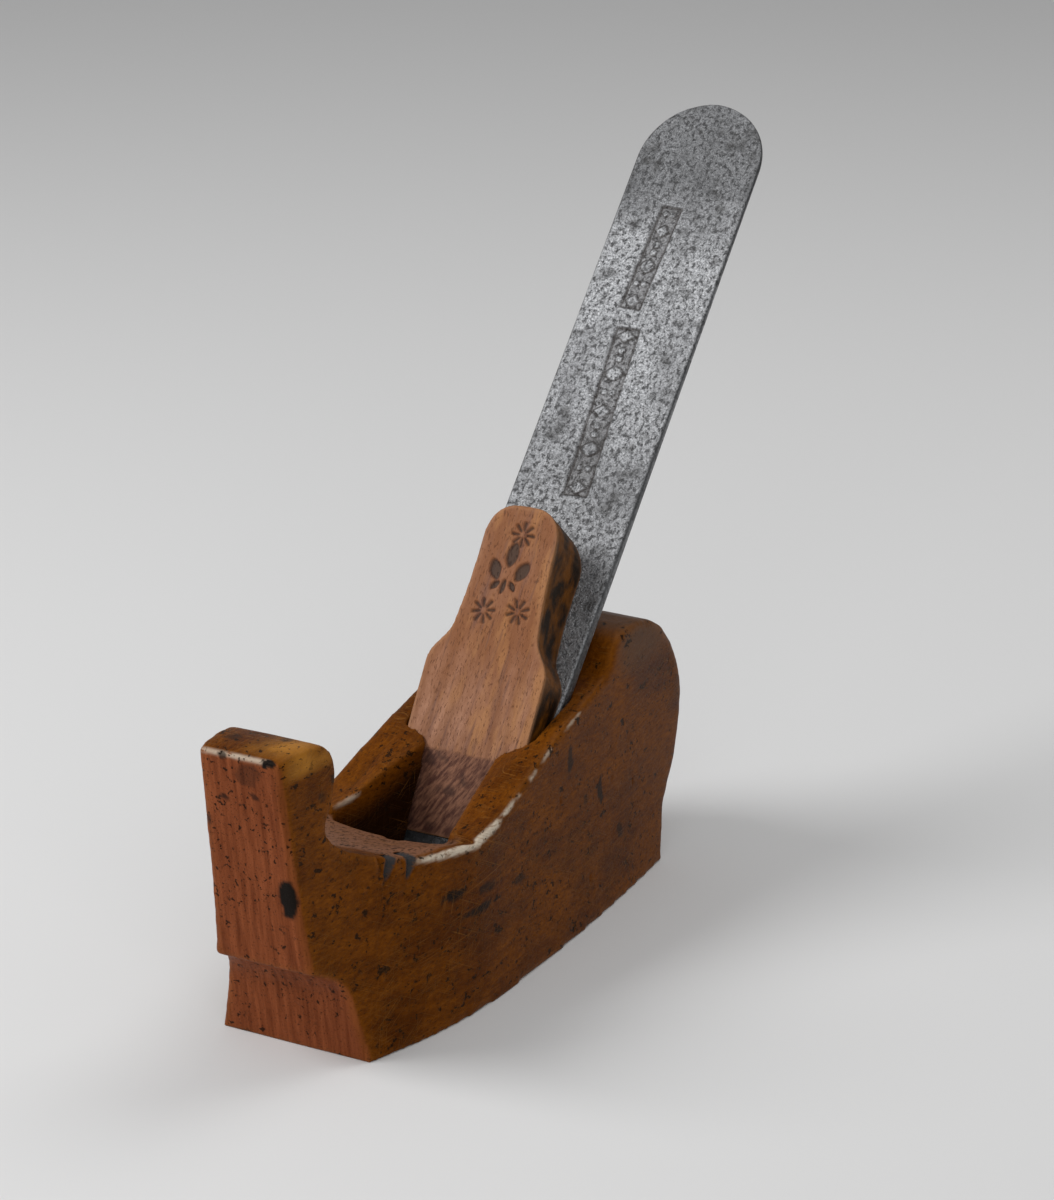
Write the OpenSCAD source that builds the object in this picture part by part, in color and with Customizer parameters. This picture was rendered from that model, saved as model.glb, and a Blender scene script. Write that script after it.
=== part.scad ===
// Violin maker's plane: a small fruitwood smoothing plane with a tall toe horn,
// a round-ended iron and a waisted wedge. Millimetres.
// The sole lies at z = 0 with its middle at the origin. +X points to the toe.

/* [Sole and sides] */
// Length of the sole, from the foot at the toe to the foot at the heel
sole_len = 99; // [86:1:120]
// Distance of the widest point of the sole in front of its middle
wide_at = 17; // [5:1:25]
// Thickness of each side wall beside the iron, at the widest point of the sole
cheek = 7.65; // [5.5:0.05:12]
// Radius of the sides' bow in front of the widest point
toe_bow_r = 90; // [75:1:200]
// Radius of the sides' bow behind the widest point
heel_bow_r = 535; // [300:5:1500]
// How far each side leans in between the sole and the top, at the widest point
side_lean = 2.75; // [0.5:0.05:4]
// How much narrower each side is at the heel than at the widest point, along the top
heel_narrowing = 3; // [0:0.1:4]
// Height above which the sides stand straight
flare_h = 45; // [25:1:56]

/* [Toe and horn] */
// Height of the foot under the horn
toe_foot_h = 11.4; // [6:0.1:14]
// How far the foot leans forward between the sole and the cove
toe_foot_lean = 1.7; // [0:0.1:3]
// Height of the cove between the foot and the horn's face
cove_h = 6.6; // [3:0.1:9]
// How far the horn's face stands in front of the sole, at its lower edge
horn_overhang = 9.1; // [4:0.1:12]
// Height of the horn above the sole
horn_h = 57; // [52:0.5:70]
// How far the horn's face leans forward between its lower edge and its top
horn_lean = 5.9; // [2:0.1:8]
// Length of the horn's top, from front to back
horn_len = 14.2; // [12:0.1:18]
// Width of the horn's top at the front
horn_front_w = 15.6; // [12:0.1:19]
// Width of the horn's top at the back
horn_back_w = 19.4; // [16:0.1:24]
// Depth of the finger hollow in the horn's back
horn_hollow = 2.6; // [0.5:0.1:4]
// Height of the finger hollow above the lowest point of the dip
hollow_up = 12; // [9:0.5:14]
// Rise of the horn's top between its front and back edges
horn_crown = 0.5; // [0.2:0.1:1.5]
// Length of the rounding behind the horn's top
horn_round_len = 4.2; // [2:0.1:6]
// Height of the rounding behind the horn's top
horn_round_h = 5.9; // [3:0.1:8]
// Distance from the finger hollow back to the first nick
nick_gap = 11.5; // [6:0.1:14]
// Distance between the two nicks
nick_pitch = 4.6; // [3:0.1:6]
// Width of each nick in the edge behind the horn
nick_w = 1.6; // [0.8:0.1:2.4]
// Tilt of the nicks, so that they fade out down the side, in degrees
nick_tilt = 20; // [10:1:35]

/* [Dip and heel] */
// Height of the dip behind the horn
dip_h = 29.4; // [27:0.1:33]
// Distance of the dip's lowest point in front of the middle of the sole
dip_at = 20; // [16:0.5:24]
// Height of the cheeks where they meet the heel
crest_h = 42.4; // [38:0.1:44]
// Distance of the crest behind the bed
crest_back = 4.5; // [2:0.1:6]
// Distance from the crest back to the highest point of the heel
heel_step = 9.7; // [8:0.1:14]
// Height of the heel
heel_h = 49; // [47:0.5:54]
// How far the heel stands out behind the sole
heel_overhang = 10; // [5:0.5:14]
// Height of the heel's widest reach
heel_bulge_h = 30; // [26:0.5:34]
// Height of the foot under the heel
heel_foot_h = 10.2; // [6:0.1:14]
// How far the heel's foot leans back between the sole and its top
heel_foot_lean = 1.8; // [0:0.1:3]

/* [Bed, mouth and throat] */
// Angle of the bed to the sole, in degrees
bed_angle = 48.66; // [45:0.01:52]
// Distance of the cutting edge in front of the middle of the sole
edge_at = 18.06; // [12:0.01:20]
// Width of the mouth in front of the iron
mouth = 1.9; // [1:0.1:4]
// Half the width of the throat at the tip of the wedge
throat_half = 5.3; // [4.4:0.1:6.5]
// How much each throat wall opens for every millimetre forward
throat_splay = 0.235; // [0.1:0.005:0.3]
// How much each throat wall opens for every millimetre upward
throat_lean = 0.2; // [0.1:0.01:0.25]
// Distance from the wedge's tip down to where the throat starts to open towards the mouth
throat_turn = 5; // [3:0.5:8]
// Depth of the shaving scoop at the throat's front edge, below the dip
scoop_deep = 2.9; // [1.5:0.1:4]
// Slope of the shaving scoop, in degrees
scoop_slope = 16.5; // [12:0.5:19]
// Radius of the shaving scoop
scoop_r = 70; // [45:1:120]
// Distance from the crease of the wedge back to where the bevels inside the cheeks start
bevel_back = 3; // [1:0.1:6]
// Drop of the bevel along the inside of each cheek, for every millimetre inward
bevel_drop = 0.42; // [0.2:0.01:0.6]

/* [Iron] */
// Width of the iron
iron_w = 25; // [22:0.5:28]
// Length of the iron along its face
iron_len = 174.6; // [130:0.1:200]
// Thickness of the iron at the cutting edge
iron_edge_t = 3.2; // [2.4:0.1:4]
// Thickness of the iron at its round top
iron_top_t = 1; // [0.8:0.1:2]
// Angle ground behind the cutting edge, in degrees
grind_angle = 28; // [22:1:35]
// Height of the cutting edge above the sole when the plane stands at rest
edge_lift = 0.1; // [0:0.05:0.5]

/* [Wedge] */
// Distance from the cutting edge up the iron to the tip of the wedge
tip_up = 25.7; // [20:0.1:28]
// Length of the wedge
wedge_len = 58.7; // [52:0.1:75]
// Length of the lower facet, from the tip to the crease
facet_len = 14.2; // [12:0.1:18]
// Thickness of the wedge at the crease
crease_t = 5.3; // [4.5:0.1:6.5]
// Thickness of the wedge at its head
head_t = 13.6; // [11:0.1:16]
// Thickness of the tip
tip_t = 0.4; // [0.2:0.1:1]
// Width of the wedge's head
head_w = 14.8; // [11:0.1:18]
// Width of the wedge just above its shoulders
neck_w = 17.2; // [14:0.1:20]
// Distance from the top of the head down to the neck
neck_down = 22.9; // [18:0.1:28]
// Length of the shoulder curve
shoulder_len = 7; // [5:0.1:10]
// Length of the rounded end of the head
head_round = 7.2; // [5:0.1:9]
// Height of the rounding at the back of the head
back_round_h = 8.4; // [4:0.1:10]
// Length of the rounding at the back of the head
back_round_len = 8.5; // [4:0.1:11]
// Chamfer along the front edge of the head
head_chamfer = 0.6; // [0.2:0.1:1.5]
// Play between the shoulders and each side of the slot
shoulder_play = 0.5; // [0.2:0.05:1]
// How much narrower the wedge is at its tip than at its shoulders, on each side
tip_taper = 2.4; // [0:0.1:4]

/* [Fits] */
// Gap between the iron and each side of the slot
slot_gap = 0.15; // [0.1:0.05:0.4]
// Gap between the iron and the bed
bed_gap = 0.03; // [0.02:0.01:0.1]
// Gap between the wedge and the iron
wedge_seat = 0.03; // [0.02:0.01:0.1]
// Gap between the wedge and the abutments
abutment_gap = 0.15; // [0.1:0.05:0.4]
// Gap between the face of the iron and the abutments near the mouth
face_gap = 0.5; // [0.4:0.05:1]

/* [Hidden] */
$fn = 96;

stock_color = [0.42, 0.19, 0.07];
iron_color = [0.46, 0.46, 0.45];
wedge_color = [0.58, 0.33, 0.2];

toe = sole_len / 2;
iron_half = iron_w / 2;
slot_half = iron_half + slot_gap;
sole_half = slot_half + cheek;
top_half = sole_half - side_lean;
// Longer and wider than the whole plane, for cuts that go right through
reach = sole_len + iron_len;
// Thickness of the slices that a hull is stretched between
thin = 0.02;

// The bed and the face of the iron: up is a distance along the slope, off is a height off it
taper = atan((iron_edge_t - iron_top_t) / iron_len);
face_angle = bed_angle - taper;
bed_foot = [edge_at - iron_edge_t * sin(bed_angle), -iron_edge_t * cos(bed_angle)];
function on_slope(start, a, up, off) =
    [start[0] - up * cos(a) + off * sin(a), start[1] + up * sin(a) + off * cos(a)];
function bed_pt(up, off) = on_slope(bed_foot, bed_angle, up, off);
function face_pt(up, off) = on_slope([edge_at, 0], face_angle, up, off);
function bed_x(z) = bed_foot[0] - (z - bed_foot[1]) / tan(bed_angle);
function face_x(z) = edge_at - z / tan(face_angle);

// A cubic curve from p to q, without p itself. It leaves p in direction a and reaches q
// in direction b, in degrees, and each pull is a share of the distance between the two.
function dir(a) = [cos(a), sin(a)];
function bow(p, a, pull_p, q, b, pull_q, steps) =
    let (d = norm(q - p), p2 = p + pull_p * d * dir(a), q2 = q - pull_q * d * dir(b))
    [for (i = [1:steps]) let (t = i / steps, s = 1 - t)
        s * s * s * p + 3 * s * s * t * p2 + 3 * s * t * t * q2 + t * t * t * q];

// Side view of the stock, from the toe's foot up over the horn and back to the heel's foot
horn_front_x = toe + horn_overhang + horn_lean;
horn_back_x = horn_front_x - horn_len;
heel_back_x = -toe - heel_overhang;
foot_top = [toe + toe_foot_lean, toe_foot_h];
face_low = [toe + horn_overhang, toe_foot_h + cove_h];
face_top = [horn_front_x, horn_h - horn_crown];
horn_rear = [horn_back_x + horn_round_len, horn_h - horn_crown];
beak = [horn_back_x, horn_rear[1] - horn_round_h];
hollow = [horn_back_x + horn_hollow, dip_h + hollow_up];
dip = [dip_at, dip_h];
crest = [bed_x(crest_h) - crest_back, crest_h];
heel_top = [crest[0] - heel_step, heel_h];
heel_back = [heel_back_x, heel_bulge_h];
heel_foot_top = [-toe - heel_foot_lean, heel_foot_h];
front_slope = bow(hollow, 270, 0.12, dip, 180, 0.5, 16);
rear_slope = bow(dip, 180, 0.21, crest, 168, 0.68, 14);
side_view = concat(
    [[toe, 0], foot_top],
    bow(foot_top, 76, 0.42, face_low, 22, 0.37, 6),
    [face_top],
    bow(face_top, 167, 0.31, horn_rear, 191, 0.31, 5),
    bow(horn_rear, 182, 0.31, beak, 270, 0.46, 7),
    bow(beak, 270, 0.55, hollow, 270, 0.27, 6),
    front_slope,
    rear_slope,
    bow(crest, 150, 0.45, heel_top, 180, 0.8, 8),
    bow(heel_top, 180, 0.62, heel_back, 270, 0.1, 10),
    bow(heel_back, 270, 0.52, heel_foot_top, 305, 0.24, 8),
    [[-toe, 0]]);

// Half the width of the stock at a place along it and a height. The sides flare out
// towards the sole along one curve and follow another along the top.
horn_taper = (horn_back_w - horn_front_w) / 2 / horn_len;
function sole_side(x) = sole_half
    - (x - wide_at) * (x - wide_at) / 2 / (x > wide_at ? toe_bow_r : heel_bow_r);
function blend(t, y0, y1, slope1) = y0 * (2 * t * t * t - 3 * t * t + 1)
    + y1 * (3 * t * t - 2 * t * t * t) + slope1 * (t * t * t - t * t);
function top_side(x) =
    x < wide_at ? top_half - heel_narrowing * (wide_at - x) / (wide_at - heel_back_x)
    : x > horn_back_x ? horn_back_w / 2 - horn_taper * (x - horn_back_x)
    : blend((x - wide_at) / (horn_back_x - wide_at), top_half, horn_back_w / 2,
        -horn_taper * (horn_back_x - wide_at));
function flare(z) = z < flare_h ? (1 - z / flare_h) * (1 - z / flare_h) : 0;
function side(x, z) = top_side(x) + (sole_side(x) - top_side(x)) * flare(z);

// Wedge, in distances up the face of the iron
crease_up = tip_up + facet_len;
head_up = tip_up + wedge_len;
neck_up = head_up - neck_down;
shoulder_up = neck_up - shoulder_len;
shoulder_half = iron_half - shoulder_play;
wedge_slope = (head_t - crease_t) / (wedge_len - facet_len);
function abutment_off(up) = crease_t + wedge_slope * (up - crease_up) + abutment_gap;
abutment_end = crease_up - (crease_t + abutment_gap - face_gap) / wedge_slope;

// A solid that fills an outline in the side view between y = -half and y = half
module across(half, outline) {
    translate([0, half, 0]) rotate([90, 0, 0]) linear_extrude(2 * half) polygon(outline);
}

// A block with the plan and the sides of the stock, higher and longer than it
side_steps = 30;
flare_steps = 7;
block_top = horn_h + 5;
block_ends = [heel_back_x - 5, horn_front_x + 5];
side_levels = concat([for (j = [0:flare_steps]) flare_h * pow(j / flare_steps, 1.4)], [block_top]);
module boat() {
    n = len(side_levels);
    x_step = (block_ends[1] - block_ends[0]) / side_steps;
    function at(i, j, s) = (s > 0 ? 0 : (side_steps + 1) * n) + i * n + j;
    function sheet(a, b, c, d, out) = out ? [[a, b, c], [a, c, d]] : [[a, c, b], [a, d, c]];
    points = [for (s = [1, -1], i = [0:side_steps], z = side_levels)
        let (x = block_ends[0] + i * x_step) [x, s * side(x, z), z]];
    walls = [for (i = [0:side_steps - 1], j = [0:n - 2], s = [1, -1])
        each sheet(at(i, j, s), at(i + 1, j, s), at(i + 1, j + 1, s), at(i, j + 1, s), s > 0)];
    lids = [for (i = [0:side_steps - 1], j = [0, n - 1])
        each sheet(at(i, j, 1), at(i, j, -1), at(i + 1, j, -1), at(i + 1, j, 1), j == 0)];
    ends = [for (i = [0, side_steps], j = [0:n - 2])
        each sheet(at(i, j, 1), at(i, j + 1, 1), at(i, j + 1, -1), at(i, j, -1), i == 0)];
    polyhedron(points, concat(walls, lids, ends));
}

// The slot that the iron and the wedge slide in
module slot() {
    across(slot_half, [
        bed_pt(-reach, -bed_gap), bed_pt(reach, -bed_gap),
        face_pt(reach, abutment_off(reach)), face_pt(abutment_end, face_gap),
        face_pt(-reach, face_gap)]);
}

// The throat in front of the iron. It opens forward and upward, and below the wedge
// it widens again to the full width of the mouth.
throat_front = edge_at + mouth;
tip = face_pt(tip_up, 0);
turn_z = tip[1] - throat_turn;
function throat_side(x, z) = throat_half
    + throat_splay * (x - tip[0]) + throat_lean * (z - tip[1]);
module throat_slice(x, z, half) {
    translate([x, 0, z]) cube([thin, 2 * half, thin], center = true);
}
module throat() {
    hull() for (z = [turn_z, block_top], x = [face_x(z), throat_front])
        throat_slice(x, z, throat_side(x, z));
    hull() {
        for (x = [edge_at, throat_front]) throat_slice(x, 0, slot_half);
        for (x = [face_x(turn_z), throat_front]) throat_slice(x, turn_z, throat_side(x, turn_z));
    }
}

// The shallow scoop that leads shavings forward out of the throat
module scoop() {
    scoop_len = hollow[0] - throat_front - nick_gap;
    translate([throat_front, 0, dip_h - scoop_deep]) rotate([0, -scoop_slope, 0])
        translate([0, 0, scoop_r]) rotate([0, 90, 0]) cylinder(r = scoop_r, h = scoop_len);
}

// The bevel along the inside of both cheeks, from the abutments to the front of the throat
module cheek_bevels() {
    start_x = face_pt(crease_up, abutment_off(crease_up))[0] - bevel_back;
    rise = lookup(start_x, rear_slope) - dip_h;
    run = throat_front - start_x;
    for (s = [0, 1]) mirror([0, s, 0])
        translate([start_x, 0, dip_h + rise]) rotate([0, atan(rise / run), 0]) rotate([90, 0, 90])
            linear_extrude(norm([rise, run])) polygon([[slot_half, 0],
                [0, -bevel_drop * slot_half], [0, horn_h], [slot_half, horn_h]]);
}

// Two nicks cut in the left edge, behind the horn
module nicks() {
    for (i = [0, 1]) {
        x = hollow[0] - nick_gap - i * nick_pitch;
        z = lookup(x, front_slope);
        translate([x, side(x, z), z]) rotate([nick_tilt, 0, 0]) rotate([0, 0, 45])
            cube([nick_w, nick_w, 5 * nick_w], center = true);
    }
}

module stock() {
    color(stock_color) difference() {
        intersection() {
            across(reach, side_view);
            boat();
        }
        slot();
        throat();
        scoop();
        cheek_bevels();
        nicks();
    }
}

// The iron lies on its back on the bed. Its plan ends in a half circle.
module iron() {
    grind_len = iron_edge_t / tan(grind_angle);
    iron_low = edge_lift / sin(bed_angle);
    color(iron_color)
        translate([bed_foot[0], 0, bed_foot[1]]) rotate([0, bed_angle, 0]) intersection() {
            across(iron_w, [[-iron_low, iron_edge_t], [-iron_low - grind_len, 0],
                [-iron_len, 0], [-iron_len, iron_top_t]]);
            translate([0, 0, -1]) linear_extrude(iron_edge_t + 2) union() {
                translate([iron_half - iron_len, 0]) circle(iron_half);
                translate([iron_half - iron_len, -iron_half]) square([iron_len, iron_w]);
            }
        }
}

// Half the outline of the wedge seen from the front, from its tip to the top of its head
wedge_side = concat(
    [[tip_up, shoulder_half - tip_taper], [crease_up, shoulder_half], [shoulder_up, shoulder_half]],
    bow([shoulder_up, shoulder_half], 0, 0.4, [neck_up, neck_w / 2], -15, 0.35, 8),
    bow([neck_up, neck_w / 2], -8, 0.4, [head_up - head_round, head_w / 2], 0, 0.4, 6),
    bow([head_up - head_round, head_w / 2], 0, 0.5, [head_up, 0], -90, 0.45, 8));
// The wedge seen from the side, in distances up the iron and heights off it
wedge_profile = concat(
    [[tip_up, wedge_seat], [tip_up, tip_t], [crease_up, crease_t],
        [head_up - head_chamfer, head_t], [head_up, head_t - head_chamfer], [head_up, back_round_h]],
    bow([head_up, back_round_h], -90, 0.45, [head_up - back_round_len, wedge_seat], 180, 0.4, 8));
module wedge() {
    color(wedge_color)
        translate([edge_at, 0, 0]) rotate([0, face_angle, 0]) mirror([1, 0, 0]) intersection() {
            across(iron_w, wedge_profile);
            linear_extrude(head_t) polygon(concat(wedge_side,
                [for (i = [len(wedge_side) - 2:-1:0]) [wedge_side[i][0], -wedge_side[i][1]]]));
        }
}

stock();
iron();
wedge();
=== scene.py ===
"""Violin maker's plane: worn fruitwood stock and wedge, pitted steel iron.

Lengths are in millimetres until a mesh or a camera takes them in metres. The frame's
origin is on the sole, +X points to the horn and +Z up.
"""
import math

import bpy
import numpy as np
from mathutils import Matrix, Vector


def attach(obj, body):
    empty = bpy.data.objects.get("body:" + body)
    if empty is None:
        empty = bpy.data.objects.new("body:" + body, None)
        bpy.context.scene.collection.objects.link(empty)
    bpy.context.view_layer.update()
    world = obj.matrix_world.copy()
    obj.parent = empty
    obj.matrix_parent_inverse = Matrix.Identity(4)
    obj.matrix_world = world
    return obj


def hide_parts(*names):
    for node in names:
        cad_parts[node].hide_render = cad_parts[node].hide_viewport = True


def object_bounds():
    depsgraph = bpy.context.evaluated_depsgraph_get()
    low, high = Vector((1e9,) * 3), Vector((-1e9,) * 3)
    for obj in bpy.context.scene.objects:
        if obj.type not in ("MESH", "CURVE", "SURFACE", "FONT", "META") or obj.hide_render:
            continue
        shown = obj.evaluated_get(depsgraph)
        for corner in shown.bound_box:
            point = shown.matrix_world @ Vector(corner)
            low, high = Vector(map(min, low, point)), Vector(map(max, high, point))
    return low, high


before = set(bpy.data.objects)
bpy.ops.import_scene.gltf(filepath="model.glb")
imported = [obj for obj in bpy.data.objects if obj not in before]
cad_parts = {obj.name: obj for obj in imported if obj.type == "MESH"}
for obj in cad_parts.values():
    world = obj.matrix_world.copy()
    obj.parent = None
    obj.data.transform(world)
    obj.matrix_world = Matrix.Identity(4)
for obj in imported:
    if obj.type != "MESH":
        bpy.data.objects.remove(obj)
cad_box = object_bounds()
MM = 0.001
BOX_LOW, BOX_HIGH = (np.asarray(corner) / MM for corner in cad_box)
RNG = np.random.default_rng(7)

# The iron and the wedge lie along a slope that starts at the cutting edge
EDGE_X = 18.06
FACE_ANGLE = math.radians(47.94)
IRON_HALF = 12.5
IRON_LEN = 174.6
IRON_THICK_LOW, IRON_THICK_TOP = 3.2, 1.0
GROUND_ANGLE = math.radians(28)
CREASE = 39.9

# Fineness of the skins, and how deep the ornaments go
STOCK_VOXEL = 0.45
WEDGE_VOXEL = 0.22
IRON_STEP, IRON_FINE_STEP = 0.36, 0.2
STAMPED_FROM, STAMPED_TO = 88, 157
PUNCH_DEPTH = 0.38
DENTS = 90
INSIDE_BOX = 0.002


def up_slope(co):
    """Distances up the iron's face, across it and off it."""
    x, z = co[:, 0] - EDGE_X, co[:, 2]
    c, s = math.cos(FACE_ANGLE), math.sin(FACE_ANGLE)
    return np.stack([-x * c + z * s, co[:, 1], x * s + z * c], 1)


def off_slope(local):
    """The way back from up_slope."""
    u, y, n = local.T
    c, s = math.cos(FACE_ANGLE), math.sin(FACE_ANGLE)
    return np.stack([EDGE_X - u * c + n * s, y, u * s + n * c], 1)


# Noise and smoothing on arrays of points
def lattice(ix, iy, iz, seed):
    """A repeatable value from -1 to 1 for each whole-number point."""
    h = (ix * 374761393 + iy * 668265263 + iz * 2147483647 + seed * 1274126177) & 0xFFFFFFFF
    h = ((h ^ (h >> 13)) * 1103515245) & 0xFFFFFFFF
    h = ((h ^ (h >> 16)) * 2654435761) & 0xFFFFFFFF
    return (h & 0xFFFFFF) / float(0x7FFFFF) - 1.0


def noise(co, size, seed=0):
    """Smooth noise from -1 to 1, with features about size across."""
    p = co / np.asarray(size, float)
    base = np.floor(p).astype(np.int64)
    f = p - base
    w = f * f * (3 - 2 * f)
    out = np.zeros(len(co))
    for dx in (0, 1):
        wx = w[:, 0] if dx else 1 - w[:, 0]
        for dy in (0, 1):
            wy = w[:, 1] if dy else 1 - w[:, 1]
            for dz in (0, 1):
                wz = w[:, 2] if dz else 1 - w[:, 2]
                out += wx * wy * wz * lattice(base[:, 0] + dx, base[:, 1] + dy, base[:, 2] + dz, seed)
    return out


def rough(co, size, seed=0, octaves=3):
    total, weight, norm = np.zeros(len(co)), 1.0, 0.0
    for k in range(octaves):
        total += weight * noise(co, np.asarray(size, float) / 2 ** k, seed + k)
        norm += weight
        weight *= 0.5
    return total / norm


def bump(co, at, radius):
    """A smooth hill of height 1 round a point."""
    d = np.linalg.norm((co - np.asarray(at, float)) / np.asarray(radius, float), axis=1)
    return np.clip(1 - d * d, 0, 1) ** 2


def band(v, low, high, soft):
    """1 between low and high, with soft ends."""
    return np.clip((v - low) / soft + 0.5, 0, 1) * np.clip((high - v) / soft + 0.5, 0, 1)


def near_line(co, a, b, radius):
    """1 on the line from a to b, falling to 0 at radius."""
    a, b = np.asarray(a, float), np.asarray(b, float)
    t = np.clip((co - a) @ (b - a) / ((b - a) @ (b - a)), 0, 1)
    d = np.linalg.norm(co - a - t[:, None] * (b - a), axis=1)
    return np.clip(1 - d / radius, 0, 1)


class Skin:
    """A closed mesh as arrays, in millimetres."""

    def __init__(self, mesh):
        n = len(mesh.vertices)
        co = np.zeros(n * 3)
        mesh.vertices.foreach_get("co", co)
        self.co = co.reshape(-1, 3) / MM
        edges = np.zeros(len(mesh.edges) * 2, np.int64)
        mesh.edges.foreach_get("vertices", edges)
        self.edges = edges.reshape(-1, 2)
        self.mesh = mesh
        self.count = np.bincount(self.edges.ravel(), minlength=n).astype(float)

    def mean(self, values):
        """The average of each vertex's neighbours."""
        a, b = self.edges.T
        out = [np.bincount(a, v[b], len(v)) + np.bincount(b, v[a], len(v)) for v in values.T]
        return np.stack(out, 1) / self.count[:, None]

    def smooth(self, times, weight=1.0):
        w = np.broadcast_to(np.asarray(weight, float), (len(self.co),))[:, None] * 0.6
        for _ in range(times):
            self.co += w * (self.mean(self.co) - self.co)

    def normals(self):
        self.mesh.vertices.foreach_set("co", (self.co * MM).ravel())
        self.mesh.update()
        out = np.zeros(len(self.co) * 3)
        self.mesh.vertices.foreach_get("normal", out)
        return out.reshape(-1, 3)

    def push(self, amount):
        """Moves every vertex along its normal."""
        self.co += self.normals() * np.asarray(amount)[:, None]

    def sharpness(self, times):
        """How far each vertex stands out of its smoothed surroundings: above 0 on outer edges."""
        kept = self.co.copy()
        self.smooth(times)
        moved = kept - self.co
        self.co = kept
        return (moved * self.normals()).sum(1)

    def finish(self, name, body, node, slot, marks, local):
        mesh = self.mesh
        self.co = np.clip(self.co, BOX_LOW + INSIDE_BOX, BOX_HIGH - INSIDE_BOX)
        mesh.vertices.foreach_set("co", (self.co * MM).ravel())
        for key, values in marks.items():
            layer = mesh.attributes.new(key, "FLOAT", "POINT")
            layer.data.foreach_set("value", np.clip(values, 0, 1).astype(np.float32))
        layer = mesh.attributes.new("local", "FLOAT_VECTOR", "POINT")
        layer.data.foreach_set("vector", np.ascontiguousarray(local, np.float32).ravel())
        mesh.polygons.foreach_set("use_smooth", np.ones(len(mesh.polygons), bool))
        mesh.update()
        piece = bpy.data.objects.new(name, mesh)
        bpy.context.scene.collection.objects.link(piece)
        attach(piece, body)
        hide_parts(node)
        return piece


def voxel_skin(node, voxel):
    """A skin of even small squares over a CAD node."""
    copy = bpy.data.objects.new("copy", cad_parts[node].data.copy())
    bpy.context.scene.collection.objects.link(copy)
    copy.data.materials.clear()
    grid = copy.modifiers.new("grid", "REMESH")
    grid.mode = "VOXEL"
    grid.voxel_size = voxel * MM
    seen = copy.evaluated_get(bpy.context.evaluated_depsgraph_get())
    mesh = bpy.data.meshes.new_from_object(seen)
    bpy.data.objects.remove(copy)
    return Skin(mesh)


# Stock
# Its marks are given: x and z of the cheeks' crest, then lines and spots as x, y, z
CREST_LINE = np.array([(-30, 43.5), (-20, 40.4), (-10, 38.3), (0, 34.8),
                       (10, 31.4), (20, 29.4), (31, 30.2), (43, 33.8)])
# Painted highlight lines along the rounded rims of the cheeks, as start, end and radius
RIM_HIGHLIGHT_LINES = [((35, 15, 30.6), (29.4, 16.2, 29.9), 1.2), ((29.4, 16.2, 29.9), (19.4, 17.4, 29.0), 1.25),
            ((19.4, 17.4, 29.0), (12.7, 17.8, 30.2), 1.1), ((12.7, 17.8, 30.2), (1.6, 17.5, 33.6), 0.8),
            ((1.6, 17.5, 33.6), (-9.9, 17, 37.6), 0.8), ((-9.9, 17, 37.6), (-23, 16.3, 40.6), 0.7)]
STOCK_STAINS = [
    ((60.7, 6.4, 32), (1.2, 1.5, 3.4), 1.0),
    ((64.3, 1.6, 53.4), (1.2, 2.4, 2.2), 0.45),
    ((64.4, -3, 55.9), (1, 0.7, 0.7), 0.8),
    ((63.3, -3.6, 48.3), (1, 0.8, 0.6), 0.8),
    ((63.5, 1.9, 49.7), (1, 0.7, 0.6), 0.7),
    ((62.5, -7.2, 43.4), (1, 0.6, 0.9), 0.6),
    ((64.4, 5.8, 56.4), (1, 1.1, 0.9), 1.0),
    ((50.9, 9.6, 50.1), (1.2, 1.2, 1), 0.8),
    ((54.3, 9.2, 47.8), (1, 1, 0.9), 0.6),
    ((58.8, -4.8, 57), (1.6, 1.2, 1), 0.6),
    ((54.5, 3, 57), (1.5, 1, 1), 0.7),
    ((26.6, 17.1, 21.9), (3.4, 1, 0.8), 0.9),
    ((18, 18.3, 20.4), (2.5, 1, 0.9), 0.7),
    ((21, 18.3, 17.4), (4.2, 1, 0.7), 0.9),
    ((6.9, 18.3, 17.5), (2, 1, 0.8), 0.7),
    ((-13.5, 16.6, 32.1), (1.1, 1, 2.4), 0.8),
    ((-24.5, 16.6, 22.6), (0.9, 1, 2.6), 0.9),
    ((-31.5, 16.9, 12.4), (1.2, 1, 1.4), 0.7),
    ((-18.5, 16.9, 22.9), (0.8, 1, 1), 0.6),
]


# More painted highlight lines: the horn's top front edges and the -Y throat edge
EDGE_HIGHLIGHT_LINES = [((64.4, -9, 56.4), (64.4, 5.4, 56.6)), ((62.8, 9.2, 55.6), (58.6, 9.8, 56.4)),
            ((24, -11.6, 29.6), (12.7, -10.1, 29))]
NICK_ENDS = [(36.8, 27.4), (41.4, 28.2)]
NICK_LEAN = 0.6


def nick_depth(co):
    """Two V cuts in the +Y top edge, widest at the top and leaning to their low ends."""
    depth = np.zeros(len(co))
    for end_x, end_z in NICK_ENDS:
        up = co[:, 2] - end_z
        width = np.clip(0.36 * up, 0.01, 1.35)
        off = np.abs(co[:, 0] - end_x + NICK_LEAN * up)
        depth = np.maximum(depth, np.clip(1.15 - off / width, 0, 1) * (up > 0))
    return depth * (co[:, 1] > 11)


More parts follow.
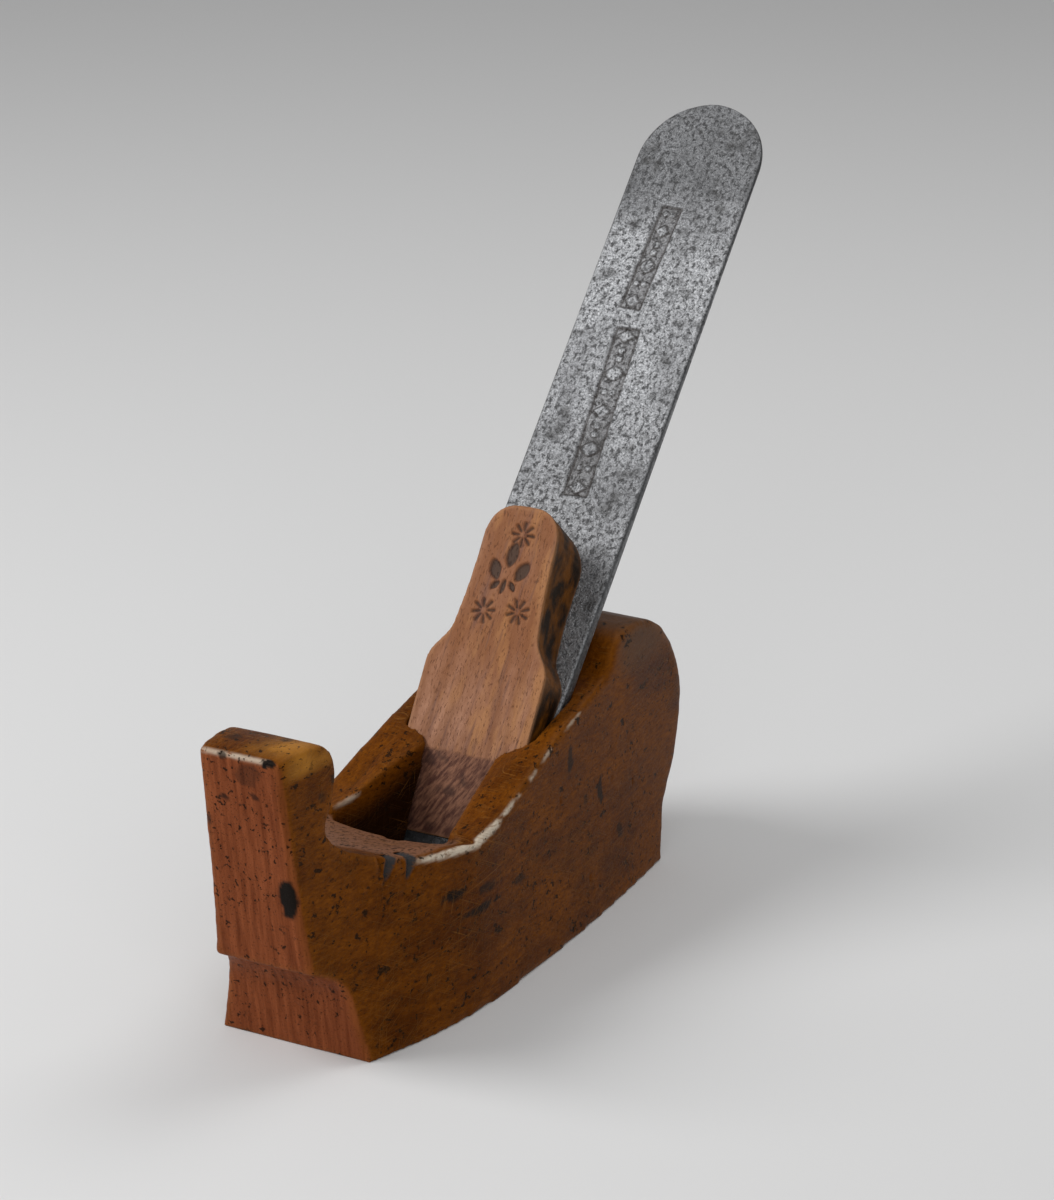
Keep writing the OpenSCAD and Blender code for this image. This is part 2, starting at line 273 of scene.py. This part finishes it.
def make_stock():
    skin = voxel_skin("stock", STOCK_VOXEL)
    x, y, z = skin.co.T
    crest = np.interp(x, *CREST_LINE.T)
    nicks = band(x, 34, 44, 1.5) * (y > 8) * band(z, 26, 38, 1)
    toe = np.where(z > 20, 0.5, 0.12)
    hidden = (np.abs(y) < 12.9) & (x > -36) & (x < 20.2) & (z < crest - 0.8)
    beside = np.clip(np.abs(y) / 5 - 0.6, 0, 1)
    soft = 0.08 + toe * beside * (x > 47) + 0.5 * (x < -44) + 0.5 * (np.abs(y) > 13) * band(x, -45, 47, 2)
    soft *= np.clip(z / 1.6 + 0.4, 0, 1)
    soft[hidden] = 0.06
    soft *= 1 - 0.6 * nicks
    skin.smooth(3)
    skin.smooth(20, np.clip(soft, 0, 1))
    low_side = np.clip((-y - 9.5) / 3, 0, 1) * np.clip((z - 25) / 6, 0, 1) * band(x, -24, 16, 12)
    skin.co[:, 2] -= 1.1 * low_side
    chip = np.clip(1 - np.abs(y - 1.6) / 2.2, 0, 1) * band(x, 18.5, 22.5, 1) * np.clip((z - 23) / 3, 0, 1)
    skin.co[:, 0] += 1.2 * chip * (x < 22)
    edge = skin.sharpness(9)
    wear = np.clip(edge / 0.2 - 0.05, 0, 1)
    # Painted shade in the concave creases
    crease_shade = np.clip(-edge / 0.16 - 0.1, 0, 1)
    dents = 0.1 * rough(skin.co, 13, 3) + 0.035 * rough(skin.co, (4, 1.6, 1.6), 9)
    for _ in range(DENTS):
        pick = skin.co[RNG.integers(len(skin.co))]
        close = np.abs(skin.co - pick).max(1) < 2
        dents[close] -= RNG.uniform(0.05, 0.2) * bump(skin.co[close], pick, RNG.uniform(0.5, 1.5, 3))
    skin.push(dents * np.clip(z / 3, 0.1, 1) * (1 - 0.7 * hidden))
    cut = nick_depth(skin.co)
    skin.co -= cut[:, None] * np.array([0, 1.0, 0.35])
    normal = skin.normals()
    x, y, z = skin.co.T
    ragged = np.stack([rough(skin.co, 1.5, 31 + k) for k in range(3)], 1)
    wobbly = skin.co + 0.8 * ragged
    front = np.clip((normal[:, 0] - 0.42) * 4 + 0.2 * ragged[:, 0], 0, 1) * band(x, 45, 80, 4)
    scoop = band(x, 19.5, 39, 1) * band(np.abs(y), -1, 14, 1) * np.clip(normal[:, 2] * 3 - 1.5, 0, 1)
    scoop *= band(z, 24, 32.5, 1)
    # Painted highlight along those rims, kept to the convex edges and broken up towards the heel
    rim_highlight = np.zeros(len(x))
    for a, b, radius in RIM_HIGHLIGHT_LINES:
        rim_highlight = np.maximum(rim_highlight, near_line(skin.co + 0.15 * ragged, a, b, radius))
    rim_highlight = np.clip(rim_highlight * 2.4, 0, 1) * np.clip(wear * 4 - 0.6, 0, 1)
    broken = np.clip(rough(skin.co, (3, 3, 1.5), 21) * 5 + 0.5, 0, 1)
    rim_highlight *= np.where(x > 13, 1, broken)
    for a, b in EDGE_HIGHLIGHT_LINES:
        line = near_line(skin.co + 0.2 * ragged, a, b, 1.0)
        rim_highlight = np.maximum(rim_highlight, np.clip(wear * 4 - 0.6, 0, 1) * line)
    gold = band(z, 53, 60, 2) * band(x, 48, 62, 4) * band(y, 0, 12, 3)
    stain = np.zeros(len(x))
    for at, radius, depth in STOCK_STAINS:
        stain = np.maximum(stain, depth * np.clip(5 * bump(wobbly, at, np.asarray(radius) * 1.25), 0, 1))
    top = band(x, -52, -34, 5) * band(z, 41, 60, 4)
    # Painted shade inside the throat, darker the further below the cheeks' crest
    slot = band(x, -38, 20.2, 0.5) * band(np.abs(y), -1, 13, 0.5)
    throat_shade = np.clip((np.interp(x, *CREST_LINE.T) - z - 2) / 4, 0, 1) * slot
    # Painted light among these marks: the rim highlight, the shade in the creases and the shade in the
    # throat
    marks = {"wear": wear, "hollow": crease_shade, "red": front, "pale": scoop, "rim_highlight": rim_highlight,
             "gold": gold * (1 - front), "stain": stain, "grey": top, "throat_shade": throat_shade,
             "nick": np.clip(cut * 3, 0, 1)}
    return skin.finish("worn_stock", "stock", "stock", "stock_wood", marks, skin.co)


# Iron, as a sheet of rings round its section from the cutting edge to its round top
CARTOUCHES = [((92.8, 0.2), (127.4, -1.4), 2.65), ((130.8, -2.7), (152.8, -1.6), 2.35)]


def iron_thickness(u):
    return IRON_THICK_LOW - (IRON_THICK_LOW - IRON_THICK_TOP) * u / IRON_LEN


def box_distance(u, y, a, b, half):
    """Distance inside (above 0) or outside a slanted box with middle line a to b."""
    a, b = np.asarray(a), np.asarray(b)
    length = np.linalg.norm(b - a)
    d = (b - a) / length
    along = (u - a[0]) * d[0] + (y - a[1]) * d[1]
    across = (y - a[1]) * d[0] - (u - a[0]) * d[1]
    return np.minimum(np.minimum(along, length - along), half - np.abs(across)), along, across, length


def stamp(u, y, a, b, half):
    """Depth and darkness of one stamped panel: a sunk frame round a field of raised motifs."""
    inside, along, across, length = box_distance(u, y, a, b, half)
    frame_line = np.clip(1 - np.abs(inside - 0.35) / 0.35, 0, 1)
    field = np.clip((inside - 0.3) / 0.3, 0, 1)
    pitch = length / round(length / 3.9)
    cell = np.floor(along / pitch).astype(int)
    s = (along / pitch - cell - 0.5) * pitch
    reach = half - 0.95
    lozenge = 1 - (np.abs(s) / 1.35 + np.abs(across) / reach)
    leaf = 1 - ((s / 1.5) ** 2 + np.abs(across) / reach)
    dots = 1 - np.hypot(s, np.abs(across) - 0.52 * reach) / 0.62
    studs = 1 - np.hypot(np.abs(s) - 0.85, across) / 0.7
    choice = np.stack([lozenge, dots, leaf, studs])[np.abs(cell) % 4, np.arange(len(cell))]
    raised = np.clip(choice / 0.3 + 0.5, 0, 1)
    outline = np.clip(1 - np.abs(choice) / 0.3, 0, 1)
    shade = field * (0.45 * (1 - raised) + 0.75 * outline) + frame_line
    return 0.34 * frame_line + 0.3 * field * (1 - raised), shade


def make_iron():
    shoulder = IRON_LEN - IRON_HALF
    turn = np.linspace(0, math.pi / 2, 60)[:-1]
    steps = np.concatenate([np.arange(0, shoulder, IRON_STEP), shoulder + IRON_HALF * np.sin(turn)])
    fine = np.arange(STAMPED_FROM, STAMPED_TO, IRON_FINE_STEP)
    plain = steps[(steps < STAMPED_FROM) | (steps > STAMPED_TO)]
    steps = np.unique(np.round(np.concatenate([plain, fine]), 4))
    half = np.where(steps < IRON_LEN - IRON_HALF, IRON_HALF,
                    np.sqrt(np.maximum(IRON_HALF ** 2 - (steps - IRON_LEN + IRON_HALF) ** 2, 0.2)))
    v = np.linspace(-1, 1, 96)
    u = np.repeat(steps, len(v)).reshape(len(steps), -1)
    w = half[:, None] * v[None, :]
    round_edge = 0.35 * np.clip(1 - (half[:, None] - np.abs(w)) / 0.45, 0, 1) ** 2
    local_front = np.stack([u, w, -round_edge], 2)
    back = np.linspace(1, -1, 24)
    ub = np.repeat(steps, len(back)).reshape(len(steps), -1)
    wb = half[:, None] * back[None, :]
    round_back = 0.35 * np.clip(1 - (half[:, None] - np.abs(wb)) / 0.45, 0, 1) ** 2
    local_back = np.stack([ub, wb, -iron_thickness(ub) + round_back], 2)
    rings = np.concatenate([local_front, local_back], 1)
    first_u = 0.6
    rings[:, :, 0] = np.maximum(rings[:, :, 0], first_u)
    low = np.clip((4.5 - rings[:, :, 0]) / 4.5, 0, 1)
    count = rings.shape[1]
    ground = -(rings[:, :, 0]) * math.tan(GROUND_ANGLE) - 0.05
    rings[:, :, 2] = np.where(low > 0, np.maximum(rings[:, :, 2], ground), rings[:, :, 2])
    points = rings.reshape(-1, 3)
    rows = len(steps)
    faces = []
    for i in range(rows - 1):
        a = i * count + np.arange(count)
        b = i * count + (np.arange(count) + 1) % count
        faces.append(np.stack([a, b, b + count, a + count], 1))
    faces = np.concatenate(faces)
    mesh = bpy.data.meshes.new("iron_mesh")
    closing = [list(range(count))[::-1], list((rows - 1) * count + np.arange(count))]
    mesh.from_pydata([tuple(p * MM) for p in off_slope(points)], [], faces.tolist() + closing)
    mesh.validate()
    skin = Skin(mesh)
    local = up_slope(skin.co)
    on_face = (local[:, 2] > -0.25) & (local[:, 0] > 30)
    depth = np.zeros(len(local))
    dark = np.zeros(len(local))
    wobble = 0.12 * rough(local, 1.6, 51)
    for a, b, half_w in CARTOUCHES:
        cut, shade = stamp(local[:, 0] + wobble, local[:, 1] + wobble, a, b, half_w)
        worn = np.clip(1.15 + 0.5 * rough(local, 4, 61), 0.4, 1)
        depth += cut * worn
        dark = np.maximum(dark, shade * worn)
    depth *= on_face
    dark *= on_face
    pits = np.clip(rough(local, 0.9, 71, 2) - 0.25, 0, 1) * 0.2
    pits += np.clip(rough(local, 2.6, 75, 2) - 0.3, 0, 1) * 0.25
    skin.co = skin.co - np.array([math.sin(FACE_ANGLE), 0, math.cos(FACE_ANGLE)]) * (
        (depth + pits * (dark < 0.2)) * on_face)[:, None]
    back_side = local[:, 2] < -0.4 * iron_thickness(local[:, 0])
    edge = (1 - on_face) * (1 - back_side)
    rust = band(local[:, 0] + 5 * rough(local, 9, 81), 152, 190, 12) + 0.45 * band(local[:, 0], 0, 108, 22)
    marks = {"stamped": dark, "edge": edge, "rust": rust, "pit": np.clip(pits * 8, 0, 1)}
    return skin.finish("pitted_iron", "iron", "iron", "iron_steel", marks, local)


# Wedge
ROSETTES = [(79.0, 0.4), (64.8, -3.3), (65.6, 3.3)]
LEAVES = [((75.3, -0.6), (2.5, 1.25), 4), ((72.3, -3.2), (2.1, 1.2), -22), ((72.6, 2.1), (2.1, 1.25), 26),
          ((69.5, -0.9), (1.5, 0.55), 8), ((69.6, -2.5), (1.1, 0.6), 42), ((69.8, 0.9), (1.1, 0.6), -42)]


def punched(u, y):
    """Depth of the punched ornament: three eight-petalled flowers and a spray of leaves."""
    depth = np.zeros(len(u))
    for k, (cu, cy) in enumerate(ROSETTES):
        r = np.hypot(u - cu, y - cy)
        a = np.arctan2(y - cy, u - cu) + 0.2 * k
        petal = np.abs((a / (math.pi / 4) + 0.5) % 1 - 0.5) * (math.pi / 4) * r
        width = 0.1 + 0.2 * np.clip((r - 0.5) / 1.7, 0, 1)
        cut = np.clip(1 - petal / (width + 0.18), 0, 1) * band(r, 0.65, 2.3, 0.35)
        depth = np.maximum(depth, cut)
    for (cu, cy), (ru, ry), turn in LEAVES:
        t = math.radians(turn)
        a = (u - cu) * math.cos(t) + (y - cy) * math.sin(t)
        b = (y - cy) * math.cos(t) - (u - cu) * math.sin(t)
        r = (np.abs(a / ru) ** 1.6 + np.abs(b / ry) ** 1.6) ** 0.625
        depth = np.maximum(depth, np.clip((1.05 - r) / 0.25, 0, 1) * 0.9)
    return depth


def make_wedge():
    skin = voxel_skin("wedge", WEDGE_VOXEL)
    skin.smooth(3)
    local = up_slope(skin.co)
    high = np.clip((local[:, 0] - 72) / 10, 0, 1)
    skin.smooth(7, 0.1 + 0.6 * high)
    edge = skin.sharpness(12)
    wear = np.clip(edge / 0.07, 0, 1)
    skin.push(0.06 * rough(skin.co, 9, 103) + 0.015 * rough(skin.co, 1.6, 107))
    local = up_slope(skin.co)
    normal = skin.normals()
    ahead = normal[:, 0] * math.sin(FACE_ANGLE) + normal[:, 2] * math.cos(FACE_ANGLE)
    face = np.clip(ahead * 3 - 1.5, 0, 1)
    wobble = 0.1 * rough(local, 1.2, 111)
    cut = punched(local[:, 0] + wobble, local[:, 1] + wobble) * (face > 0.5)
    skin.push(-PUNCH_DEPTH * cut)
    low = face * np.clip((CREASE + 0.4 * rough(local, 3, 115) - local[:, 0]) / 0.5, 0, 1)
    side = np.clip(1 - face, 0, 1) * np.clip(np.abs(normal[:, 1]) * 2 - 0.3, 0, 1)
    marks = {"wear": wear, "cut": cut, "low": low, "side": side, "high": band(local[:, 0], 52, 100, 14),
             "stain": np.clip(rough(local, (5, 3, 3), 121) * 1.6 - 0.1, 0, 1) * side}
    return skin.finish("carved_wedge", "wedge", "wedge", "wedge_wood", marks, local)


# Materials. A scratch is a turn in degrees about Y, and how far it runs each way
SCRATCHES = [(35, (9, 4, 0.09)), (-28, (11, 4, 0.1)), (72, (8, 4, 0.09)), (8, (13, 4, 0.1))]


class Nodes:
    """Short calls for building a node tree."""

    def __init__(self, name):
        self.material = bpy.data.materials.new(name)
        self.material.use_nodes = True
        self.tree = self.material.node_tree
        self.tree.nodes.clear()
        self.out = self.tree.nodes.new("ShaderNodeOutputMaterial")
        self.shader = self.tree.nodes.new("ShaderNodeBsdfPrincipled")
        self.tree.links.new(self.shader.outputs[0], self.out.inputs[0])

    def put(self, socket, value):
        if isinstance(value, bpy.types.NodeSocket):
            self.tree.links.new(value, socket)
        elif value is not None:
            socket.default_value = value

    def mark(self, name):
        n = self.tree.nodes.new("ShaderNodeAttribute")
        n.attribute_name = name
        return n.outputs["Fac"]

    def place(self, size=(1, 1, 1), turn=(0, 0, 0)):
        """The local millimetres, turned back by turn (degrees) and then divided by size."""
        n = self.tree.nodes.new("ShaderNodeAttribute")
        n.attribute_name = "local"
        m = self.tree.nodes.new("ShaderNodeMapping")
        m.vector_type = "TEXTURE"
        self.put(m.inputs["Vector"], n.outputs["Vector"])
        m.inputs["Rotation"].default_value = [math.radians(t) for t in turn]
        m.inputs["Scale"].default_value = size
        return m.outputs[0]

    def noise(self, place, detail=3.0, rough=0.55, distort=0.0):
        n = self.tree.nodes.new("ShaderNodeTexNoise")
        self.put(n.inputs["Vector"], place)
        n.inputs["Scale"].default_value = 1.0
        n.inputs["Detail"].default_value = detail
        n.inputs["Roughness"].default_value = rough
        n.inputs["Distortion"].default_value = distort
        return n.outputs["Fac"]

    def waves(self, place, distort, detail=2.0, scale=1.0):
        n = self.tree.nodes.new("ShaderNodeTexWave")
        n.wave_type = "RINGS"
        self.put(n.inputs["Vector"], place)
        n.inputs["Scale"].default_value = scale
        n.inputs["Distortion"].default_value = distort
        n.inputs["Detail"].default_value = detail
        return n.outputs["Fac"]

    def step(self, value, low, high):
        """Maps low..high to 0..1, held at both ends. low may be above high."""
        n = self.tree.nodes.new("ShaderNodeMapRange")
        self.put(n.inputs["Value"], value)
        n.inputs["From Min"].default_value = low
        n.inputs["From Max"].default_value = high
        return n.outputs[0]

    def math(self, how, a, b=None):
        n = self.tree.nodes.new("ShaderNodeMath")
        n.operation = how
        self.put(n.inputs[0], a)
        self.put(n.inputs[1], b)
        return n.outputs[0]

    def mix(self, amount, a, b, how="MIX"):
        n = self.tree.nodes.new("ShaderNodeMix")
        n.data_type = "RGBA"
        n.blend_type = how
        self.put(n.inputs["Factor"], amount)
        self.put(n.inputs[6], a if isinstance(a, bpy.types.NodeSocket) else (*a, 1))
        self.put(n.inputs[7], b if isinstance(b, bpy.types.NodeSocket) else (*b, 1))
        return n.outputs[2]

    def finish(self, colour, rough, height, depth_mm, **plain):
        self.put(self.shader.inputs["Base Color"], colour)
        self.put(self.shader.inputs["Roughness"], rough)
        n = self.tree.nodes.new("ShaderNodeBump")
        n.inputs["Strength"].default_value = 1.0
        n.inputs["Distance"].default_value = depth_mm * MM
        self.put(n.inputs["Height"], height)
        self.tree.links.new(n.outputs[0], self.shader.inputs["Normal"])
        for key, value in plain.items():
            self.shader.inputs[key.replace("_", " ")].default_value = value
        return self.material


def stock_wood():
    n = Nodes("old_fruitwood")
    grain = n.noise(n.place((9, 1.1, 1.1)), 5, 0.65, 0.5)
    cloud = n.noise(n.place((15, 11, 9)), 4)
    colour = n.mix(n.step(grain, 0.3, 0.7), (0.066, 0.014, 0.0005), (0.165, 0.047, 0.002))
    colour = n.mix(n.math("MULTIPLY", n.step(cloud, 0.4, 0.68), 0.6), colour, (0.22, 0.065, 0.0025))
    colour = n.mix(n.math("MULTIPLY", n.step(cloud, 0.5, 0.3), 0.45), colour, (0.038, 0.0075, 0.0003))
    mottle = n.step(n.noise(n.place((1.6, 0.55, 0.55)), 4, 0.7), 0.36, 0.62)
    between = n.math("SUBTRACT", 1.0, mottle)
    colour = n.mix(n.math("MULTIPLY", between, 0.55), colour, (0.045, 0.009, 0.0004))
    up = n.noise(n.place((3, 0.9, 14)), 5, 0.6)
    front = n.mix(n.step(up, 0.3, 0.72), (0.12, 0.028, 0.009), (0.26, 0.072, 0.026))
    colour = n.mix(n.mark("red"), colour, front)
    pores = n.noise(n.place((1.1, 0.3, 0.3)), 2, 0.5)
    colour = n.mix(n.math("MULTIPLY", n.step(pores, 0.6, 0.7), 0.6), colour, (0.02, 0.005, 0.001))
    speckle = n.step(n.noise(n.place((1.1, 0.4, 1)), 2), 0.56, 0.62)
    colour = n.mix(n.mark("pale"), colour, n.mix(speckle, (0.2, 0.09, 0.05), (0.03, 0.012, 0.006)))
    colour = n.mix(n.math("MULTIPLY", n.mark("gold"), n.step(cloud, 0.3, 0.55)), colour, (0.36, 0.15, 0.02))
    colour = n.mix(n.math("MULTIPLY", n.mark("grey"), 0.55), colour, (0.1, 0.055, 0.03))
    colour = n.mix(n.math("MULTIPLY", n.mark("wear"), 0.35), colour, (0.25, 0.085, 0.012))
    # Painted shade darkens the concave creases
    colour = n.mix(n.math("MULTIPLY", n.mark("hollow"), 0.85), colour, (0.012, 0.004, 0.001))
    # Painted shade down in the throat
    colour = n.mix(n.math("MULTIPLY", n.mark("throat_shade"), 0.92), colour, (0.006, 0.002, 0.001))
    # Painted highlight: a near-white line along the rims
    rim_highlight = n.math("MULTIPLY", n.mark("rim_highlight"), n.step(n.noise(n.place((3, 3, 1.2)), 3, 0.6), 0.28, 0.42))
    colour = n.mix(rim_highlight, colour, (0.55, 0.47, 0.37))
    flecks = n.step(n.noise(n.place((1.25, 0.95, 0.95)), 3, 0.6), 0.615, 0.645)
    flecks = n.math("MULTIPLY", flecks, n.step(n.noise(n.place((11, 9, 9)), 2), 0.42, 0.52))
    blots = n.step(n.noise(n.place((3.2, 2.0, 2.2)), 4, 0.65), 0.635, 0.66)
    spots = n.math("MAXIMUM", flecks, blots)
    colour = n.mix(n.math("MULTIPLY", spots, 0.88), colour, (0.008, 0.004, 0.002))
    colour = n.mix(n.mark("stain"), colour, (0.007, 0.006, 0.006))
    colour = n.mix(n.math("MULTIPLY", n.mark("nick"), 0.95), colour, (0.03, 0.034, 0.038))
    scratch = None
    for turn, size in SCRATCHES:
        line = n.step(n.noise(n.place(size, (0, turn, 0)), 0, 0.5), 0.72, 0.75)
        scratch = line if scratch is None else n.math("MAXIMUM", scratch, line)
    scratch = n.math("MULTIPLY", scratch, n.math("SUBTRACT", n.step(cloud, 0.62, 0.4), n.mark("red")))
    scratch = n.step(scratch, 0.0, 1.0)
    colour = n.mix(n.math("MULTIPLY", scratch, 0.4), colour, (0.27, 0.11, 0.022))
    height = n.math("ADD", n.math("MULTIPLY", grain, 0.3), n.math("MULTIPLY", pores, -0.5))
    height = n.math("SUBTRACT", height, n.math("MULTIPLY", scratch, 0.35))
    height = n.math("SUBTRACT", height, n.math("MULTIPLY", spots, 0.5))
    rough_value = n.math("ADD", n.math("MULTIPLY", n.step(cloud, 0.2, 0.9), 0.16), 0.34)
    return n.finish(colour, rough_value, height, 0.14, Specular_IOR_Level=0.07,
                    Specular_Tint=(1.0, 0.6, 0.3, 1))


def wedge_wood():
    n = Nodes("pale_fruitwood")
    figure = n.waves(n.place((95, 10, 15)), 3.2, 4, 1.0)
    fine = n.noise(n.place((4, 0.5, 0.7)), 5, 0.7, 0.3)
    cloud = n.noise(n.place((13, 6, 6)), 3)
    colour = n.mix(n.step(figure, 0.05, 0.95), (0.22, 0.092, 0.045), (0.36, 0.175, 0.105))
    colour = n.mix(n.math("MULTIPLY", n.step(fine, 0.35, 0.7), 0.5), colour, (0.43, 0.215, 0.135))
    mottle = n.step(n.noise(n.place((2.2, 0.7, 0.8)), 4, 0.7), 0.6, 0.4)
    colour = n.mix(n.math("MULTIPLY", mottle, 0.35), colour, (0.17, 0.06, 0.025))
    colour = n.mix(n.math("MULTIPLY", n.step(cloud, 0.45, 0.66), 0.55), colour, (0.2, 0.075, 0.032))
    colour = n.mix(n.math("MULTIPLY", n.mark("high"), 0.65), colour, (0.21, 0.07, 0.022))
    orange = n.step(n.noise(n.place((13, 3, 5)), 3), 0.5, 0.66)
    colour = n.mix(n.math("MULTIPLY", orange, 0.55), colour, (0.42, 0.19, 0.07))
    streaks = n.step(n.noise(n.place((24, 1.3, 3), (0, 0, 4)), 4, 0.6), 0.54, 0.68)
    colour = n.mix(n.math("MULTIPLY", streaks, 0.6), colour, (0.115, 0.05, 0.042))
    pores = n.step(n.noise(n.place((1.2, 0.28, 0.28)), 2), 0.6, 0.68)
    colour = n.mix(n.math("MULTIPLY", pores, 0.6), colour, (0.09, 0.035, 0.02))
    streak = n.noise(n.place((3, 0.5, 1), (0, 0, 32)), 4, 0.6)
    low = n.mix(n.step(streak, 0.4, 0.62), (0.085, 0.032, 0.024), (0.25, 0.115, 0.07))
    patch = n.step(n.noise(n.place((4, 4, 4)), 2), 0.56, 0.66)
    low = n.mix(n.math("MULTIPLY", patch, 0.7), low, (0.045, 0.02, 0.018))
    colour = n.mix(n.mark("low"), colour, low)
    smoke = n.step(n.noise(n.place((5, 3, 3)), 4), 0.42, 0.6)
    side = n.mix(smoke, (0.008, 0.003, 0.0005), (0.13, 0.042, 0.002))
    colour = n.mix(n.mark("side"), colour, side)
    colour = n.mix(n.mark("stain"), colour, (0.004, 0.002, 0.001))
    colour = n.mix(n.math("MULTIPLY", n.mark("wear"), 0.4), colour, (0.4, 0.2, 0.1))
    colour = n.mix(n.math("MULTIPLY", n.mark("cut"), 0.95), colour, (0.018, 0.014, 0.015))
    height = n.math("ADD", n.math("MULTIPLY", fine, 0.5), n.math("MULTIPLY", pores, -0.5))
    return n.finish(colour, n.math("ADD", n.math("MULTIPLY", cloud, 0.2), 0.4), height, 0.1,
                    Specular_IOR_Level=0.25, Specular_Tint=(1.0, 0.75, 0.55, 1))


def iron_steel():
    n = Nodes("pitted_steel")
    grit = n.noise(n.place((0.42, 0.42, 0.42)), 4, 0.7)
    spots = n.noise(n.place((1.1, 1.0, 1.0)), 4, 0.72)
    cloud = n.noise(n.place((18, 12, 12)), 3)
    colour = n.mix(n.step(grit, 0.3, 0.68), (0.1, 0.102, 0.106), (0.66, 0.67, 0.69))
    colour = n.mix(n.math("MULTIPLY", n.step(spots, 0.525, 0.6), 0.88), colour, (0.042, 0.042, 0.044))
    colour = n.mix(n.math("MULTIPLY", n.step(cloud, 0.46, 0.66), 0.45), colour, (0.13, 0.13, 0.135))
    colour = n.mix(n.math("MULTIPLY", n.mark("rust"), 0.55), colour, (0.05, 0.05, 0.052))
    colour = n.mix(n.math("MULTIPLY", n.mark("pit"), 0.55), colour, (0.05, 0.048, 0.046))
    colour = n.mix(n.math("MULTIPLY", n.mark("edge"), 0.75), colour, (0.03, 0.03, 0.031))
    colour = n.mix(n.math("MULTIPLY", n.mark("stamped"), 0.85), colour, (0.035, 0.026, 0.021))
    height = n.math("ADD", grit, n.math("MULTIPLY", n.step(spots, 0.7, 0.5), 0.8))
    n.put(n.shader.inputs["Metallic"], n.step(spots, 0.75, 0.45))
    return n.finish(colour, n.math("ADD", n.math("MULTIPLY", grit, 0.35), 0.3), height, 0.16)


def dress(piece, material):
    piece.data.materials.clear()
    piece.data.materials.append(material)


# Floor, lights and camera
def make_floor():
    size = 6.0
    corners = [(-size, -size, 0), (size, -size, 0), (size, size, 0), (-size, size, 0)]
    mesh = bpy.data.meshes.new("floor_mesh")
    mesh.from_pydata(corners, [], [(0, 1, 2, 3)])
    floor = bpy.data.objects.new("floor", mesh)
    bpy.context.scene.collection.objects.link(floor)
    n = Nodes("pale_paper")
    tone = n.noise(n.place((1, 1, 1)), 2)
    n.finish((0.72, 0.72, 0.72, 1), 0.9, tone, 0.01)
    dress(floor, n.material)


def lamp(name, at_mm, look_mm, size_mm, power):
    data = bpy.data.lights.new(name, "AREA")
    data.shape = "DISK"
    data.size = size_mm * MM
    data.energy = power
    holder = bpy.data.objects.new(name, data)
    bpy.context.scene.collection.objects.link(holder)
    holder.location = Vector(at_mm) * MM
    aim = Vector(look_mm) - Vector(at_mm)
    holder.rotation_euler = aim.to_track_quat("-Z", "Y").to_euler()


def make_lights():
    middle = (0, 0, 50)
    lamp("key", (420, -560, 620), middle, 520, 5.2)
    lamp("fill", (700, 420, 380), middle, 700, 1.9)
    lamp("top", (-350, 150, 700), middle, 500, 1.4)
    world = bpy.data.worlds.new("studio")
    bpy.context.scene.world = world
    world.use_nodes = True
    world.node_tree.nodes["Background"].inputs["Color"].default_value = (0.8, 0.8, 0.8, 1)
    world.node_tree.nodes["Background"].inputs["Strength"].default_value = 0.4


def make_camera():
    """The photograph's camera: a long lens, looking down at the toe from its left side."""
    at = Vector((551.03, 330.82, 289.95))
    bearing, tilt = 0.51942, 0.33979
    level = math.cos(tilt)
    ahead = -Vector((level * math.cos(bearing), level * math.sin(bearing), math.sin(tilt)))
    data = bpy.data.cameras.new("photo_camera")
    data.lens = 120
    data.sensor_width = 36
    data.clip_start = 0.05
    data.clip_end = 50
    camera = bpy.data.objects.new("photo_camera", data)
    bpy.context.scene.collection.objects.link(camera)
    camera.location = at * MM
    camera.rotation_euler = ahead.to_track_quat("-Z", "Y").to_euler()
    bpy.context.scene.camera = camera


make_camera()
make_lights()
make_floor()
dress(make_stock(), stock_wood())
dress(make_iron(), iron_steel())
dress(make_wedge(), wedge_wood())
bpy.context.scene.view_settings.view_transform = "Standard"
